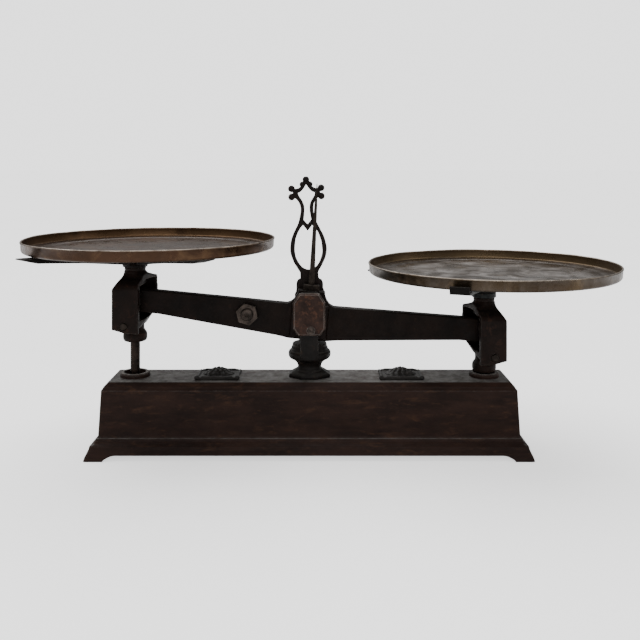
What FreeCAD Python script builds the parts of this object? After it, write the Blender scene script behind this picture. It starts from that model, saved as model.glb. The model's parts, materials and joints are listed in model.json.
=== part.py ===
"""Equal arm counter balance: cast base, forked column, knife-edge beam, two upright carriers with round pans.

Millimetres, +Z up, +X to the right, the front at -Y. The origin is on the table, under the column's axis.
The balance is stored with its right-hand pan down, on its stop.
"""
import FreeCAD, Part
import math
import os

os.makedirs("parts", exist_ok=True)
V = FreeCAD.Vector

# ---- driving dimensions --------------------------------------------------------------------------------
ARM = 175.0              # from the centre knife to each end knife, and the same on the counter-beam
REST_TILT = 5.0          # the beam's angle when one side is fully down, in degrees
KNIFE_Z = 130.5          # height of the centre knife's edge
LOWER_PIVOT_Z = 32.0     # height of the counter-beam's pivot inside the base
ROD_X = ARM * math.cos(math.radians(REST_TILT))
ROD_RISE = ARM * math.sin(math.radians(REST_TILT))
LINK_DROP = KNIFE_Z - LOWER_PIVOT_Z

BASE_TOP_Z = 69.3
BASE_WALL = 4.6
BASE_PLATE_T = 5.3
BASE_INNER_R = 1.2       # the hollow's upright corners
FOOT_HEIGHT = 4.8        # gap under the skirt between the feet
# outer sections of the base: height, half length, half depth, corner radius
BASE_SECTIONS = [
    (0.0, 213.9, 46.0, 3.0), (3.0, 213.0, 44.4, 3.0), (6.0, 211.7, 42.4, 3.0), (9.0, 210.4, 40.2, 2.9),
    (11.4, 210.0, 38.8, 2.9), (12.2, 209.2, 37.9, 2.8), (13.6, 207.0, 35.6, 2.6), (15.6, 205.4, 33.8, 2.5),
    (17.5, 204.8, 33.0, 2.4), (18.0, 204.0, 32.0, 2.3), (19.2, 203.4, 31.4, 2.3), (23.0, 203.2, 31.0, 2.2),
    (62.4, 201.1, 29.7, 2.2), (64.6, 199.4, 28.0, 2.2), (65.4, 199.1, 27.6, 2.2), (68.2, 196.5, 25.0, 2.2),
    (BASE_TOP_Z, 195.5, 24.0, 2.2),
]
RING_OUTER_R = 14.8      # raised ring round each rod hole
RING_HOLE_R = 10.75
RING_TOP_Z = 73.75

ORNAMENT_X = 90.6
ORNAMENT_LENGTH = 44.4
ORNAMENT_DEPTH = 34.0
ORNAMENT_PEAK = 9.8
ORNAMENT_STUD_R = 3.0

FORK_GAP = 11.5          # half the clear gap between the column's two arms
HEAD_OUTER_Y = 26.5
PLATE_WIDTH = 31.2
PLATE_HEIGHT = 40.8
PLATE_T = 3.5
PLATE_CENTRE_Z = 135.7
STUD_R = 6.0
FOOT_FLATS = 40.6        # the column's octagonal foot, across its flats
FOOT_DEPTH_SHARE = 0.78  # its depth over its width
FLUTES = 20

BEAM_T = 12.0
BEAM_BOSS_HALF = 18.5
BEAM_BOSS_T = 21.0
KNIFE_HALF_ANGLE = 30.0
SEAT_HALF_ANGLE = 50.0
KNIFE_HEIGHT = 12.0

CARRIER_HALF = 18.5      # half width of a carrier's hood
CARRIER_HALF_DEPTH = 22.0
CARRIER_WALL = 4.0
PANEL_TOP = 12.9         # heights on a carrier are from its knife axis
PANEL_BOTTOM = -26.9
POST_R = 10.6
POST_BASE = 24.0
POST_TOP = 33.0
PEG_R = 5.0              # the peg on a post's top, which centres the pan's cross
PEG_H = 8.0
COLLAR_R = 11.9
COLLAR_TOP = -31.5
COLLAR_BOTTOM = -41.2
ROD_R = 4.7
ROD_SOCKET_TOP = -30.0
WASHER_R = 12.0
RIGHT_WASHER_T = 5.2

CROSS_ARM_TOP = 17.0     # the arms' flat top above the hub's underside
CROSS_REACH = {"left": 119.5, "right": 119.5}
CROSS_TURN = {"left": 45.0, "right": 69.0}
CROSS_BENT_ARM = {"left": None, "right": 180}   # the arm whose end is bent up beside the pan

PAN_R = 124.0
PAN_RIM_H = 11.2
PAN_SHEET = {"left": 1.2, "right": 1.3}
PAN_WELL_R = 108.5       # the flat central disc, a little lower than the ledge round it
PAN_WELL_DROP = 1.2
PAN_OFFSET = {"left": 15.7, "right": 8.1}   # how far each loose pan has been set off its post

SIDES = {"left": -1, "right": 1}
RUN = 0.05               # running clearance, on the radius


# ---- plain shapes ----------------------------------------------------------------------------------------
def box(x0, x1, y0, y1, z0, z1):
    return Part.makeBox(x1 - x0, y1 - y0, z1 - z0, V(x0, y0, z0))


def cylinder_y(x, z, r, y0, y1):
    return Part.makeCylinder(r, y1 - y0, V(x, y0, z), V(0, 1, 0))


def cylinder_z(x, y, r, z0, z1):
    return Part.makeCylinder(r, z1 - z0, V(x, y, z0), V(0, 0, 1))


def prism_y(points, y0, y1):
    """A closed outline of (x, z) points, drawn out along Y."""
    wire = Part.makePolygon([V(x, y0, z) for x, z in points + points[:1]])
    return Part.Face(wire).extrude(V(0, y1 - y0, 0))


def prism_x(points, x0, x1):
    """A closed outline of (y, z) points, drawn out along X."""
    wire = Part.makePolygon([V(x0, y, z) for y, z in points + points[:1]])
    return Part.Face(wire).extrude(V(x1 - x0, 0, 0))


def turned(profile, x=0.0, y=0.0, z=0.0):
    """A closed profile of (radius, height) points, turned about a vertical axis."""
    wire = Part.makePolygon([V(r, 0, h) for r, h in profile + profile[:1]])
    solid = Part.Face(wire).revolve(V(0, 0, 0), V(0, 0, 1), 360)
    solid.translate(V(x, y, z))
    return solid


def curve_through(points, y):
    spline = Part.BSplineCurve()
    spline.interpolate([V(x, y, z) for x, z in points])
    return spline.toShape()


def rounded_section(half_length, half_depth, r, z, middle_x=0.0, middle_y=0.0):
    """A level rectangle with round corners, as a wire."""
    k = r * (1 - math.sqrt(0.5))
    edges = []
    for i, (sx, sy) in enumerate([(1, 1), (-1, 1), (-1, -1), (1, -1)]):
        cx = middle_x + sx * half_length
        cy = middle_y + sy * half_depth
        on_side = V(cx, cy - sy * r, z)
        on_end = V(cx - sx * r, cy, z)
        middle = V(cx - sx * k, cy - sy * k, z)
        first, last = (on_side, on_end) if i % 2 == 0 else (on_end, on_side)
        edges.append(Part.Arc(first, middle, last).toShape())
    wires = []
    for i, arc in enumerate(edges):
        following = edges[(i + 1) % len(edges)]
        wires.append(arc)
        wires.append(Part.makeLine(arc.lastVertex().Point, following.firstVertex().Point))
    return Part.Wire(wires)


def lofted(sections):
    return Part.makeLoft([rounded_section(a, b, r, z) for z, a, b, r in sections], True, True)


def fused(first, *others):
    return first.fuse(list(others)).removeSplitter()


def octagon(a, b, cuts):
    """Points of a rectangle of half width a and half height b, with corners cut by (top, bottom) pairs."""
    (tx, tz), (bx, bz) = cuts
    return [(-a, -b + bz), (-a + bx, -b), (a - bx, -b), (a, -b + bz),
            (a, b - tz), (a - tx, b), (-a + tx, b), (-a, b - tz)]


def slotted_head(x, z, r, y_face, y_out, slot_w, slot_deep, angle):
    """A round screw head between two y values, with a turned driver slot in its outer face."""
    low, high = sorted((y_face, y_out))
    head = cylinder_y(x, z, r, low, high)
    step = math.copysign(slot_deep, y_face - y_out)
    s0, s1 = sorted((y_out - step, y_out + step))
    slot = box(x - 2 * r, x + 2 * r, s0, s1, z - slot_w / 2, z + slot_w / 2)
    slot.rotate(V(x, 0, z), V(0, 1, 0), angle)
    return head.cut(slot)


def tilted(shape):
    """Turns a level beam part to the rest angle, about the centre knife's edge."""
    shape.rotate(V(0, 0, KNIFE_Z), V(0, 1, 0), REST_TILT)
    return shape


def carried(shape, side):
    """Places a carrier part, built with its knife axis at the origin and +X outwards."""
    placed = shape if side == "right" else shape.mirror(V(0, 0, 0), V(1, 0, 0))
    sign = SIDES[side]
    placed.translate(V(sign * ROD_X, 0, KNIFE_Z - sign * ROD_RISE))
    return placed


# ---- base ------------------------------------------------------------------------------------------------
def arch_outline(half_span, end_slope=6.0):
    """The open space under the skirt between two feet, with an ogee at each end."""
    rise = [(0.0, -1.0), (0.0, 0.0), (1.2, 1.5), (4.0, 3.0), (7.0, 4.2), (end_slope + 4.5, FOOT_HEIGHT)]
    right = [(half_span - d, z) for d, z in rise]
    return right + [(-x, z) for x, z in reversed(right)]


def base_casting():
    outer = lofted(BASE_SECTIONS)
    inner = [(z, a - BASE_WALL, b - BASE_WALL, BASE_INNER_R) for z, a, b, r in BASE_SECTIONS if z < 62]
    inner[0] = (-1.0,) + inner[0][1:]
    inner.append((BASE_TOP_Z - BASE_PLATE_T, 196.0, 24.4, BASE_INNER_R))
    casting = outer.cut(lofted(inner))
    casting = casting.cut(prism_y(arch_outline(195.2), -60, 60))
    casting = casting.cut(prism_x(arch_outline(24.0), -230, 230))
    ring = [(0, BASE_TOP_Z - 2), (RING_OUTER_R, BASE_TOP_Z - 2), (RING_OUTER_R, BASE_TOP_Z + 2.6),
            (RING_OUTER_R - 0.5, RING_TOP_Z - 0.7), (RING_OUTER_R - 1.7, RING_TOP_Z), (0, RING_TOP_Z)]
    lugs = [turned(ring, sign * ROD_X) for sign in SIDES.values()]
    casting = fused(casting, *lugs)
    for sign in SIDES.values():
        casting = casting.cut(cylinder_z(sign * ROD_X, 0, RING_HOLE_R, 50, 80))
        casting = casting.cut(cylinder_z(sign * ORNAMENT_X, 0, ORNAMENT_STUD_R, 50, 80))
    return casting.cut(cylinder_z(0, 0, STUD_R + RUN, 50, 80))


def ornament(sign):
    """A cast plaque with corner blocks and a stepped leaf crown, with its fixing stud below."""
    half_l = ORNAMENT_LENGTH / 2
    half_d = ORNAMENT_DEPTH / 2
    plaque_t = 2.2
    shape = box(-half_l, half_l, -half_d, half_d, 0, plaque_t)
    rail = 3.4
    pieces = [box(-half_l, half_l, y - rail / 2, y + rail / 2, 0, 3.4) for y in (-half_d + 2, half_d - 2)]
    block = 6.0
    for x in (-half_l, half_l - block):
        for y in (-half_d, half_d - block):
            pieces.append(box(x, x + block, y, y + block, 0, 4.4))
    steps = 4
    for i in range(steps):
        spread = 15.0 - 3.1 * i
        low = plaque_t + i * (ORNAMENT_PEAK - plaque_t) / steps
        high = plaque_t + (i + 1) * (ORNAMENT_PEAK - plaque_t) / steps
        outline = [rounded_section(spread, spread * 0.72, 2.0, low),
                   rounded_section(spread - 2.6, (spread - 2.6) * 0.72, 1.2, high)]
        pieces.append(Part.makeLoft(outline, True, True))
    pieces.append(cylinder_z(0, 0, ORNAMENT_STUD_R, -BASE_PLATE_T - 1.5, 1))
    shape = fused(shape, *pieces)
    shape.translate(V(sign * ORNAMENT_X, 0, BASE_TOP_Z))
    return shape


# ---- column and what is fixed to it ----------------------------------------------------------------------
HEAD_CUTS = ((6.0, 9.0), (5.0, 7.0))
WINDOW_HALF = 9.0
WINDOW_BOTTOM = 124.0
WINDOW_TOP = 147.0
COVER_SCREW = (1.6, 120.3)
LYRE_FRONT_Y = 7.5
LYRE_TAB_BACK_Y = 17.0
LYRE_SCREWS = ((-7.5, 159.5), (7.5, 159.5))
LYRE_SCREW_R = 2.0


def octagon_wire(across_flats, z):
    r = across_flats / 2 / math.cos(math.radians(22.5))
    angles = [math.radians(22.5 + 45 * i) for i in range(9)]
    return Part.makePolygon([V(r * math.cos(a), FOOT_DEPTH_SHARE * r * math.sin(a), z) for a in angles])


def octagon_foot():
    """The column's eight-sided foot: a low upright edge and a sloping shoulder."""
    levels = [(FOOT_FLATS, BASE_TOP_Z), (FOOT_FLATS, BASE_TOP_Z + 2.8), (FOOT_FLATS - 2.0, BASE_TOP_Z + 3.8),
              (24.0, BASE_TOP_Z + 8.4)]
    return Part.makeLoft([octagon_wire(w, z) for w, z in levels], True, True)


def flute(angle):
    """A small round groove up the neck's flare."""
    start = V(12.1, 0, 79.0)
    end = V(20.8, 0, 88.2)
    groove = Part.makeCylinder(1.25, (end - start).Length, start, end - start)
    groove.rotate(V(0, 0, 0), V(0, 0, 1), angle)
    return groove


def column():
    turning = [(0, 50), (STUD_R, 50), (STUD_R, BASE_TOP_Z), (14.0, BASE_TOP_Z), (14.0, 76.0), (12.2, 77.4),
               (11.7, 78.6), (11.7, 80.6), (12.2, 82.0), (13.6, 84.2), (16.4, 86.6),
               (19.8, 88.2), (20.7, 89.6), (21.1, 91.4), (21.1, 93.6), (20.2, 95.4), (18.4, 96.4),
               (18.2, 98.6), (17.4, 99.4), (17.0, 102.4), (15.8, 103.4), (15.4, 106.0), (0, 106.0)]
    shape = turned(turning).fuse(octagon_foot())
    for i in range(FLUTES):
        shape = shape.cut(flute(360.0 * (i + 0.5) / FLUTES))
    arms = []
    for sign in (-1, 1):
        y0, y1 = sorted((sign * FORK_GAP, sign * 20.6))
        arms.append(box(-8.75, 8.75, y0, y1, 92, 120))
        y0, y1 = sorted((sign * FORK_GAP, sign * HEAD_OUTER_Y))
        outline = octagon(PLATE_WIDTH / 2 - 1.4, PLATE_HEIGHT / 2 - 1.6, HEAD_CUTS)
        arms.append(prism_y([(x, z + PLATE_CENTRE_Z) for x, z in outline], y0, y1))
    tab = box(-13.6, 13.6, FORK_GAP, LYRE_TAB_BACK_Y, 148, 165)
    corners = [e for e in tab.Edges if abs(e.BoundBox.YLength - tab.BoundBox.YLength) < 0.1
               and e.BoundBox.ZMin > 160]
    arms.append(tab.makeFillet(6.0, corners))
    shape = fused(shape, *arms)
    shape = shape.cut(box(-30, 30, -FORK_GAP, FORK_GAP, 102.6, 180))
    for sign in (-1, 1):
        y0, y1 = sorted((sign * (FORK_GAP - 1), sign * (HEAD_OUTER_Y + 1)))
        shape = shape.cut(box(-WINDOW_HALF, WINDOW_HALF, y0, y1, WINDOW_BOTTOM, WINDOW_TOP))
        y0, y1 = sorted((sign * 16.5, sign * (HEAD_OUTER_Y + 1)))
        shape = shape.cut(cylinder_y(sign * -COVER_SCREW[0], COVER_SCREW[1], 2.2, y0, y1))
    for x, z in LYRE_SCREWS:
        shape = shape.cut(cylinder_y(x, z, LYRE_SCREW_R, FORK_GAP - 1, LYRE_TAB_BACK_Y + 1))
    return shape


def centre_seat(sign):
    """The steel V that one end of the centre knife rocks in."""
    y0, y1 = sorted((sign * (FORK_GAP + 0.5), sign * (HEAD_OUTER_Y - 1.0)))
    block = box(-WINDOW_HALF, WINDOW_HALF, y0, y1, WINDOW_BOTTOM, KNIFE_Z + 6.0)
    rise = 8.0
    run = rise * math.tan(math.radians(SEAT_HALF_ANGLE))
    groove = [(0, KNIFE_Z), (run, KNIFE_Z + rise), (-run, KNIFE_Z + rise)]
    return block.cut(prism_y(groove, y0 - 1, y1 + 1))


def cover_plate(sign):
    outline = [(x, z + PLATE_CENTRE_Z) for x, z in octagon(PLATE_WIDTH / 2, PLATE_HEIGHT / 2, HEAD_CUTS)]
    y0, y1 = sorted((sign * HEAD_OUTER_Y, sign * (HEAD_OUTER_Y + PLATE_T)))
    plate = prism_y(outline, y0, y1)
    face_y = sign * (HEAD_OUTER_Y + PLATE_T)
    front = [e for e in plate.Edges if e.BoundBox.YLength < 0.01 and abs(e.BoundBox.YMin - face_y) < 0.01]
    plate = plate.makeChamfer(1.3, front)
    screw_x = -sign * COVER_SCREW[0]
    return plate.cut(cylinder_y(screw_x, COVER_SCREW[1], 3.7, y0 - 1, y1 + 1))


def cover_screw(sign):
    face_y = sign * (HEAD_OUTER_Y + PLATE_T + 0.5)
    x = -sign * COVER_SCREW[0]
    z = COVER_SCREW[1]
    head = slotted_head(x, z, 3.65, sign * HEAD_OUTER_Y, face_y, 1.1, 1.2, 38)
    y0, y1 = sorted((sign * 17.0, sign * (HEAD_OUTER_Y + 0.5)))
    return fused(head, cylinder_y(x, z, 2.2, y0, y1))


def mirrored_curve(points, y):
    """A smooth edge through the points on the +X side, and its mirror."""
    return curve_through(points, y), curve_through([(-x, z) for x, z in points], y)


LYRE_FOOT_Z = 160.0
LYRE_LEAN = -2.1
LYRE_T = 3.8


def lyre_frame():
    """The fixed index frame: a foot, a pear-shaped bow, a waist and a finial of small balls."""
    y = 0.0
    outer = [(9.0, 12.0), (12.6, 18.0), (16.8, 27.0), (18.2, 35.0), (16.9, 44.2), (13.7, 52.4),
             (10.6, 58.4), (8.0, 65.0), (6.6, 71.0), (6.1, 77.0), (6.9, 81.0), (8.9, 84.6), (12.8, 87.9)]
    inner = [(0.0, 14.0), (5.6, 15.6), (10.6, 21.4), (13.6, 29.0), (14.1, 36.0), (13.0, 44.2), (10.2, 52.4)]
    foot = [(13.9, -11.0), (13.9, -6.4), (10.2, 1.6), (9.0, 6.7), (9.0, 12.0)]
    cap_r = [(12.8, 87.9), (13.6, 92.3), (12.8, 96.6)]
    scallop = [(12.8, 96.6), (8.2, 96.4), (5.2, 98.9), (3.6, 103.4)]
    right = [Part.makePolygon([V(x, y, z) for x, z in foot]), curve_through(outer, y),
             curve_through(cap_r, y), curve_through(scallop, y)]
    top = Part.makeLine(V(3.6, y, 103.4), V(-3.6, y, 103.4))
    bottom = Part.makeLine(V(-13.9, y, -11.0), V(13.9, y, -11.0))
    edges = [e for w in right for e in w.Edges]
    edges += [e.mirror(V(0, 0, 0), V(1, 0, 0)) for e in edges] + [top, bottom]
    plate = Part.Face(Part.Wire(Part.__sortEdges__(edges))).extrude(V(0, LYRE_T, 0))
    bow_top = [(10.2, 52.4), (7.4, 57.0), (4.6, 60.0), (0.0, 53.8)]
    bow = list(mirrored_curve(inner, y))
    for sign in (-1, 1):
        bow += Part.makePolygon([V(sign * x, y, z) for x, z in bow_top]).Edges
    plate = plate.cut(Part.Face(Part.Wire(Part.__sortEdges__(bow))).extrude(V(0, LYRE_T, 0)))
    slot_side = [(4.2, 64.6), (3.3, 70.0), (2.9, 76.5), (3.5, 80.5), (5.2, 84.6), (7.8, 88.6), (8.8, 92.4)]
    slot = list(mirrored_curve(slot_side, y))
    for sign in (-1, 1):
        slot.append(Part.makeLine(V(0, y, 59.8), V(sign * 4.2, y, 64.6)))
        shoulder = [(sign * 8.8, 92.4), (sign * 5.6, 93.6), (sign * 2.4, 97.2), (0, 101.0)]
        slot.append(curve_through(shoulder, y))
    plate = plate.cut(Part.Face(Part.Wire(Part.__sortEdges__(slot))).extrude(V(0, LYRE_T, 0)))
    middle = LYRE_T / 2
    balls = [(0, 105.3, 3.2), (3.7, 100.6, 2.6), (-3.7, 100.6, 2.6)]
    for sign in (-1, 1):
        balls += [(sign * 15.0, 96.5, 3.2), (sign * 15.0, 88.2, 3.2)]
    plate = fused(plate, *[Part.makeSphere(r, V(x, middle, z)) for x, z, r in balls])
    plate.translate(V(0, LYRE_FRONT_Y, LYRE_FOOT_Z))
    plate.rotate(V(0, 0, LYRE_FOOT_Z), V(0, 1, 0), LYRE_LEAN)
    pad_y = LYRE_FRONT_Y + LYRE_T
    pad = box(-12, 12, pad_y - 0.6, FORK_GAP, 152, 164)
    plate = fused(plate, pad)
    for x, z in LYRE_SCREWS:
        plate = plate.cut(cylinder_y(x, z, LYRE_SCREW_R, LYRE_FRONT_Y + 1.2, FORK_GAP + 1))
    return plate


def lyre_screws():
    screws = []
    for x, z in LYRE_SCREWS:
        head = slotted_head(x, z, 3.6, LYRE_TAB_BACK_Y, LYRE_TAB_BACK_Y + 2.0, 0.9, 0.9, 20)
        screws.append(fused(head, cylinder_y(x, z, LYRE_SCREW_R, LYRE_FRONT_Y + 1.4, LYRE_TAB_BACK_Y + 0.5)))
    return Part.makeCompound(screws)


# ---- under the base --------------------------------------------------------------------------------------
PLATE_UNDERSIDE = BASE_TOP_Z - BASE_PLATE_T
BRACKET_T = 3.0
BRACKET_GAP = 13.0
PIVOT_PIN_R = 4.0
WASHER_T = 1.5
NUT_T = 7.0


def pivot_bracket():
    """A bent strap, held up by the column's nut, whose two legs carry the counter-beam's pin."""
    outer = BRACKET_GAP + BRACKET_T
    shape = box(-12, 12, -outer, outer, PLATE_UNDERSIDE - BRACKET_T, PLATE_UNDERSIDE)
    legs = []
    for sign in (-1, 1):
        y0, y1 = sorted((sign * BRACKET_GAP, sign * outer))
        legs.append(box(-9, 9, y0, y1, LOWER_PIVOT_Z, PLATE_UNDERSIDE - 1))
        legs.append(cylinder_y(0, LOWER_PIVOT_Z, 9, y0, y1))
    shape = fused(shape, *legs)
    shape = shape.cut(cylinder_z(0, 0, STUD_R + RUN, PLATE_UNDERSIDE - 10, PLATE_UNDERSIDE + 1))
    return shape.cut(cylinder_y(0, LOWER_PIVOT_Z, PIVOT_PIN_R, -20, 20))


def column_washer():
    top = PLATE_UNDERSIDE - BRACKET_T
    washer = cylinder_z(0, 0, 11.0, top - WASHER_T, top)
    return washer.cut(cylinder_z(0, 0, STUD_R + RUN, top - 5, top + 1))


def hexagon(across_flats, height):
    r = across_flats / math.sqrt(3)
    points = [V(r * math.cos(math.radians(60 * i)), r * math.sin(math.radians(60 * i)), 0) for i in range(7)]
    return Part.Face(Part.makePolygon(points)).extrude(V(0, 0, height))


def column_nut():
    top = PLATE_UNDERSIDE - BRACKET_T - WASHER_T
    nut = hexagon(19.0, NUT_T)
    nut.translate(V(0, 0, top - NUT_T))
    return nut.cut(cylinder_z(0, 0, STUD_R, top - NUT_T - 1, top + 1))


def pivot_pin():
    outer = BRACKET_GAP + BRACKET_T
    pin = cylinder_y(0, LOWER_PIVOT_Z, PIVOT_PIN_R, -outer - 1.5, outer + 1.5)
    return fused(pin, cylinder_y(0, LOWER_PIVOT_Z, 6.0, -outer - 3.0, -outer))


COUNTER_T = 8.0
EYE_R = 6.5
LINK_PIN_R = 3.0
LINK_CLEARANCE = 0.3


def counter_beam():
    """The lower beam: an equal-armed lever whose eyes hold the feet of the two guide rods."""
    half_t = COUNTER_T / 2
    top = [(0, 8.0), (60, 6.4), (ARM, 5.0)]
    outline = [(-x, z) for x, z in reversed(top)] + top[1:] + [(x, -z) for x, z in reversed(top)]
    outline += [(-x, -z) for x, z in top[1:]]
    bar = prism_y([(x, z + LOWER_PIVOT_Z) for x, z in outline], -half_t, half_t)
    hub = cylinder_y(0, LOWER_PIVOT_Z, 9.0, -12, 12)
    eyes = [cylinder_y(s * ARM, LOWER_PIVOT_Z, EYE_R, -half_t, half_t) for s in SIDES.values()]
    shape = fused(bar, hub, *eyes)
    shape = shape.cut(cylinder_y(0, LOWER_PIVOT_Z, PIVOT_PIN_R + RUN, -20, 20))
    for sign in SIDES.values():
        shape = shape.cut(cylinder_y(sign * ARM, LOWER_PIVOT_Z, LINK_PIN_R + LINK_CLEARANCE, -20, 20))
    shape.rotate(V(0, 0, LOWER_PIVOT_Z), V(0, 1, 0), REST_TILT)
    return shape


# ---- beam ------------------------------------------------------------------------------------------------
ADJUSTER = (-61.7, -3.4)
ADJUSTER_R = 6.05
HUMP_TOP = 24.5


def knife_slot(height, sign):
    """The triangle of a knife with its edge at the origin; sign +1 puts the body above the edge."""
    run = height * math.tan(math.radians(KNIFE_HALF_ANGLE))
    return [(0, 0), (run, sign * height), (-run, sign * height)]


def beam_casting():
    top = [(30, 10.3), (150, 11.5), (168, 11.5)]
    bottom = [(168, -11.3), (150, -11.5), (30, -22.5), (19, -24.2)]
    half = BEAM_T / 2
    nose = [(ARM + 11.0 * math.cos(math.radians(a)), 11.0 * math.sin(math.radians(a)))
            for a in range(75, -80, -15)]
    right = [(13.5, HUMP_TOP), (13.9, 20.4), (16.0, 15.8), (19.0, 12.2), (23.0, 10.3)] + top + nose + bottom
    outline = right + [(-x, z) for x, z in reversed(right)]
    shape = prism_y([(x, z + KNIFE_Z) for x, z in outline], -half, half)
    edges = [e for e in shape.Edges if e.BoundBox.YLength < 0.01 and abs(e.BoundBox.Center.x) > 24]
    shape = shape.makeFillet(1.1, edges)
    boss_half = BEAM_BOSS_T / 2
    boss = box(-BEAM_BOSS_HALF, BEAM_BOSS_HALF, -boss_half, boss_half, KNIFE_Z - 22, KNIFE_Z + 11)
    upright = [e for e in boss.Edges if e.BoundBox.ZLength > 20]
    shape = fused(shape, boss.makeFillet(3.0, upright))
    centre = [(x, z + KNIFE_Z) for x, z in knife_slot(KNIFE_HEIGHT, 1)]
    shape = shape.cut(prism_y(centre, -20, 20))
    for sign in SIDES.values():
        end = [(x + sign * ARM, z + KNIFE_Z) for x, z in knife_slot(KNIFE_HEIGHT * 0.72, -1)]
        shape = shape.cut(prism_y(end, -20, 20))
    shape = shape.cut(cylinder_y(ADJUSTER[0], ADJUSTER[1] + KNIFE_Z, ADJUSTER_R, -20, 20))
    return tilted(shape)


def centre_knife():
    outline = [(x, z + KNIFE_Z) for x, z in knife_slot(KNIFE_HEIGHT, 1)]
    return tilted(prism_y(outline, -24.5, 24.5))


def end_knife(sign):
    outline = [(x + sign * ARM, z + KNIFE_Z) for x, z in knife_slot(KNIFE_HEIGHT * 0.72, -1)]
    return tilted(prism_y(outline, -16.5, 16.5))


def adjuster_nut():
    nut = hexagon(19.3, 5.0)
    nut = nut.cut(cylinder_z(0, 0, ADJUSTER_R, -1, 6))
    nut.rotate(V(0, 0, 0), V(1, 0, 0), 90)
    nut.rotate(V(0, 0, 0), V(0, 1, 0), 12)
    nut.translate(V(ADJUSTER[0], -BEAM_T / 2, ADJUSTER[1] + KNIFE_Z))
    return tilted(nut)


def adjuster_stud():
    x, z = ADJUSTER[0], ADJUSTER[1] + KNIFE_Z
    front = -BEAM_T / 2 - 7.4
    stud = cylinder_y(x, z, ADJUSTER_R, front, BEAM_T / 2)
    edge = [e for e in stud.Edges if e.BoundBox.YMax < front + 0.1]
    stud = stud.makeChamfer(0.8, edge)
    head = cylinder_y(x, z, 8.5, BEAM_T / 2, BEAM_T / 2 + 2.4)
    stud = fused(stud, head)
    return tilted(stud.cut(cylinder_y(x, z, 2.5, front - 1, front + 3)))


POINTER_FOOT = (-0.7, HUMP_TOP)
POINTER_BLOCK_H = 6.0
POINTER_LEAN = -1.9


def pointer_block():
    x, w = POINTER_FOOT
    z = KNIFE_Z + w
    block = box(x - 8, x + 8, -5, 5, z, z + POINTER_BLOCK_H)
    block = block.makeChamfer(0.8, [e for e in block.Edges if e.BoundBox.ZMin > z + POINTER_BLOCK_H - 0.1])
    return tilted(block.cut(box(x - 2.8, x + 2.8, -1.2, 1.2, z - 1, z + POINTER_BLOCK_H + 1)))


def pointer():
    x, w = POINTER_FOOT
    z = KNIFE_Z + w
    outline = [(-2.8, 0), (2.8, 0), (2.8, 12.0), (1.3, 90.0), (0.6, 94.0), (-0.6, 94.0), (-1.3, 90.0),
               (-2.8, 12.0)]
    blade = prism_y([(x + a, z + b) for a, b in outline], -1.2, 1.2)
    needle = Part.makeCone(0.6, 0.35, 14.0, V(x, 0, z + 92.6), V(0, 0, 1))
    shape = fused(blade, needle)
    shape.rotate(V(x, 0, z + POINTER_BLOCK_H), V(0, 1, 0), POINTER_LEAN)
    trimmed = shape.cut(box(x - 9, x + 9, -5, 5, z - 5, z + POINTER_BLOCK_H))
    root = box(x - 2.8, x + 2.8, -1.2, 1.2, z, z + POINTER_BLOCK_H)
    return tilted(fused(trimmed, root))


# ---- carriers and pans -----------------------------------------------------------------------------------
CAVITY_TOP = 15.5
CAVITY_HALF = 14.5
FLOOR_TOP = -18.2
FRONT_PANEL_INNER = -7.2
ARCH_DEEP_X = -9.0       # how far in the arched part of the opening goes
HOOD_CORNER_R = 2.4
# level sections of the roof: height, x from and to, y from and to, corner radius
ROOF_SECTIONS = [
    (PANEL_TOP, -18.5, 18.5, -22.0, 22.0, HOOD_CORNER_R), (17.0, -18.5, 15.8, -20.6, 22.0, HOOD_CORNER_R),
    (20.0, -18.5, 13.7, -17.0, 22.0, HOOD_CORNER_R), (22.4, -18.5, 12.0, -13.0, 20.8, 3.0),
    (24.0, -15.8, 11.2, -11.8, 16.4, 6.0), (26.2, -12.4, 10.9, -11.0, 12.2, 9.5),
    (28.2, -10.6, 10.6, -10.6, 10.6, 10.5),
]
CARRIER_PIN = (6.5, -23.0)
CARRIER_PIN_R = 3.65
END_SEAT_Y = (9.5, 18.0)


def hood_roof():
    """The roof above the hood's walls, drawn in to the post: level sections from the panel's top upwards."""
    sections = []
    for z, x0, x1, y0, y1, r in ROOF_SECTIONS:
        sections.append(rounded_section((x1 - x0) / 2, (y1 - y0) / 2, r, z, (x0 + x1) / 2, (y0 + y1) / 2))
    return Part.makeLoft(sections, True, True)


def hood_blank():
    """The hood as a full solid: upright walls with rounded outer corners, and the roof."""
    half, deep = CARRIER_HALF, CARRIER_HALF_DEPTH
    walls = box(-half, half, -deep, deep, PANEL_BOTTOM, PANEL_TOP)
    outer = [e for e in walls.Edges if e.BoundBox.XMin > half - 0.1 and e.BoundBox.ZLength > 5]
    return fused(walls.makeFillet(HOOD_CORNER_R, outer), hood_roof())


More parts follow.
